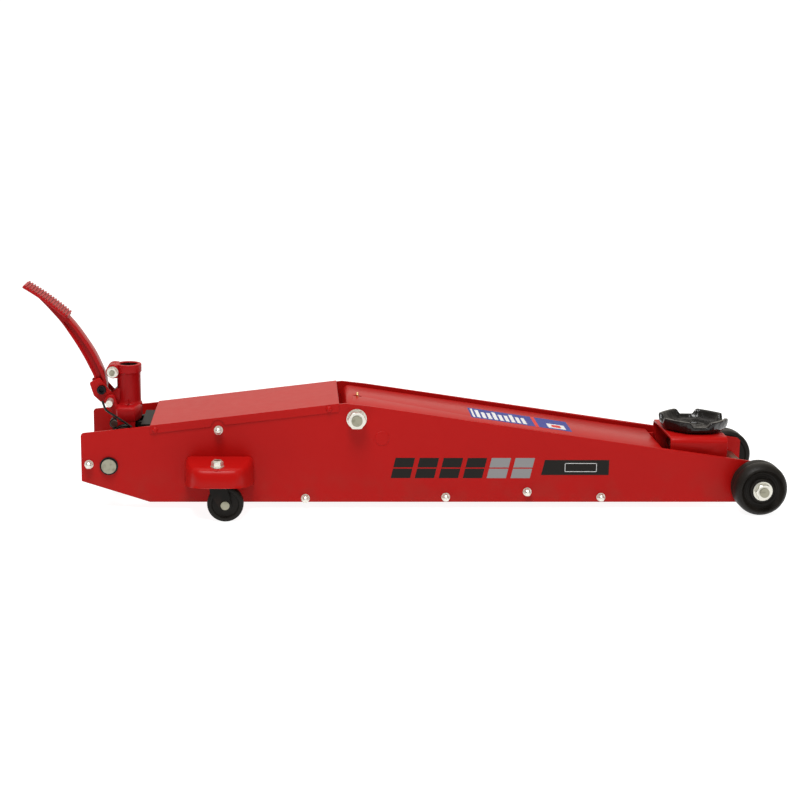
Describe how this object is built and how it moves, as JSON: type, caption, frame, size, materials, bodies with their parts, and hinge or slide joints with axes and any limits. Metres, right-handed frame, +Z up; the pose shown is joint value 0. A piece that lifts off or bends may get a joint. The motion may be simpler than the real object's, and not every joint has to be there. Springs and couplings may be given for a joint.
{
  "type": "hydraulic trolley jack",
  "caption": "Long low red trolley jack with a lifting arm, round saddle, wheels, tilting handle socket and foot pedal.",
  "frame": {"origin": "on the floor under the centre of the jack's bounding box", "axes": "+X from the handle socket towards the saddle, +Z up, -Y the side with the torsion spring"},
  "size_m": [1.4112, 0.4, 0.4017],
  "materials": {
    "red_paint": "semi-gloss powder coat",
    "black_paint": "semi-gloss",
    "zinc_plate": "zinc plated, faint yellow",
    "machined_steel": "turned",
    "black_steel": "black oxide",
    "nylon_tread": "moulded, dull",
    "brass": "plain",
    "rubber": "plain"
  },
  "bodies": {
    "chassis": {"side_plate_left": "red_paint", "side_plate_right": "red_paint", "cross_plates": "red_paint", "front_axle": "machined_steel", "axle_washers": "zinc_plate", "axle_nuts": "zinc_plate", "tie_rods": "machined_steel", "acorn_nuts": "zinc_plate", "pivot_bolt": "machined_steel", "pivot_nut": "zinc_plate", "pivot_washers": "zinc_plate", "rod_anchors": "red_paint", "rear_cover": "red_paint", "cover_screws": "zinc_plate", "caster_bracket_left": "red_paint", "caster_bracket_right": "red_paint", "caster_studs": "machined_steel", "caster_nuts": "zinc_plate", "unit_shaft": "machined_steel", "shaft_circlips": "black_paint", "pump_block": "black_paint", "cylinder": "black_paint", "gland_nut": "machined_steel", "reservoir": "black_paint", "filler_plug": "rubber"},
    "release_valve": {"release_valve": "machined_steel"},
    "lift_arm": {"arm_top_plate": "red_paint", "arm_side_plates": "red_paint", "arm_pivot_tube": "machined_steel", "arm_cranks": "red_paint", "crank_pin": "machined_steel", "grease_nipple": "brass", "arm_front_pin": "machined_steel"},
    "radius_rods": {"radius_rods": "black_paint"},
    "saddle_bracket": {"saddle_bracket": "red_paint", "rod_pin": "machined_steel"},
    "saddle": {"saddle": "black_paint", "saddle_retainer": "zinc_plate"},
    "ram": {"ram": "machined_steel", "crosshead": "machined_steel"},
    "handle_socket": {"handle_socket": "red_paint", "socket_shaft": "machined_steel", "torsion_spring": "black_steel", "pump_lever": "black_paint", "clamp_bolt": "machined_steel", "clamp_nut": "zinc_plate", "pedal_cheeks": "red_paint", "pedal_pin": "machined_steel", "pedal_bolt": "black_steel", "pedal_arm": "red_paint", "pedal_pad": "red_paint"},
    "pump_roller": {"pump_roller": "machined_steel"},
    "plunger": {"plunger": "machined_steel"},
    "release_spigot": {"release_spigot": "machined_steel"},
    "front_wheel_left": {"front_wheel_left": "nylon_tread"},
    "front_wheel_right": {"front_wheel_right": "nylon_tread"},
    "caster_fork_left": {"caster_fork_left": "black_paint"},
    "caster_fork_right": {"caster_fork_right": "black_paint"},
    "caster_wheel_left": {"caster_wheel_left": "nylon_tread"},
    "caster_wheel_right": {"caster_wheel_right": "nylon_tread"}
  },
  "joints": [
    {"name": "lift_arm_hinge", "type": "hinge", "parent": "chassis", "child": "lift_arm", "pos_m": [-0.0944, 0, 0.1718], "axis": [0, -1, 0], "range_deg": [0, 70]},
    {"name": "radius_rod_hinge", "type": "hinge", "parent": "chassis", "child": "radius_rods", "pos_m": [-0.047, 0, 0.1348], "axis": [0, -1, 0], "range_deg": [0, 70]},
    {"name": "saddle_bracket_hinge", "type": "hinge", "parent": "lift_arm", "child": "saddle_bracket", "pos_m": [0.535, 0, 0.088], "axis": [0, -1, 0], "range_deg": [-70, 0]},
    {"name": "saddle_swivel", "type": "hinge", "parent": "saddle_bracket", "child": "saddle", "pos_m": [0.556, 0, 0.13], "axis": [0, 0, 1], "continuous": true},
    {"name": "ram_slide", "type": "slide", "parent": "chassis", "child": "ram", "axis": [1, 0, 0], "range_m": [0, 0.08624]},
    {"name": "socket_hinge", "type": "hinge", "parent": "chassis", "child": "handle_socket", "pos_m": [-0.521, 0, 0.127], "axis": [0, -1, 0], "range_deg": [0, 50], "stiffness_Nm_per_rad": 5, "springref_deg": -80.21},
    {"name": "plunger_slide", "type": "slide", "parent": "chassis", "child": "plunger", "axis": [1, 0, 0], "range_m": [0, 0.02387]},
    {"name": "roller_spin", "type": "hinge", "parent": "handle_socket", "child": "pump_roller", "pos_m": [-0.53283, 0, 0.10162], "axis": [0, 1, 0], "continuous": true},
    {"name": "release_spigot_turn", "type": "hinge", "parent": "handle_socket", "child": "release_spigot", "pos_m": [-0.517, 0, 0.176], "axis": [0, 0, 1], "range_deg": [0, 180]},
    {"name": "release_valve_turn", "type": "hinge", "parent": "chassis", "child": "release_valve", "pos_m": [-0.49, 0, 0.136], "axis": [1, 0, 0], "range_deg": [0, 180]},
    {"name": "front_wheel_spin_left", "type": "hinge", "parent": "chassis", "child": "front_wheel_left", "pos_m": [0.6557, 0.129, 0.0495], "axis": [0, 1, 0], "continuous": true},
    {"name": "caster_swivel_left", "type": "hinge", "parent": "chassis", "child": "caster_fork_left", "pos_m": [-0.345, 0.173, 0.07], "axis": [0, 0, 1], "continuous": true},
    {"name": "caster_spin_left", "type": "hinge", "parent": "caster_fork_left", "child": "caster_wheel_left", "pos_m": [-0.331, 0.173, 0.0327], "axis": [0, 1, 0], "continuous": true},
    {"name": "front_wheel_spin_right", "type": "hinge", "parent": "chassis", "child": "front_wheel_right", "pos_m": [0.6557, -0.129, 0.0495], "axis": [0, 1, 0], "continuous": true},
    {"name": "caster_swivel_right", "type": "hinge", "parent": "chassis", "child": "caster_fork_right", "pos_m": [-0.345, -0.173, 0.07], "axis": [0, 0, 1], "continuous": true},
    {"name": "caster_spin_right", "type": "hinge", "parent": "caster_fork_right", "child": "caster_wheel_right", "pos_m": [-0.331, -0.173, 0.0327], "axis": [0, 1, 0], "continuous": true}
  ],
  "couplings": [
    {"joint": "radius_rod_hinge", "follows": "lift_arm_hinge", "ratio": 1},
    {"joint": "saddle_bracket_hinge", "follows": "lift_arm_hinge", "ratio": -1},
    {"joint": "ram_slide", "follows": "lift_arm_hinge", "m_per_rad": 0.070422},
    {"joint": "plunger_slide", "follows": "socket_hinge", "m_per_rad": 0.02712},
    {"joint": "release_valve_turn", "follows": "release_spigot_turn", "ratio": 1}
  ]
}
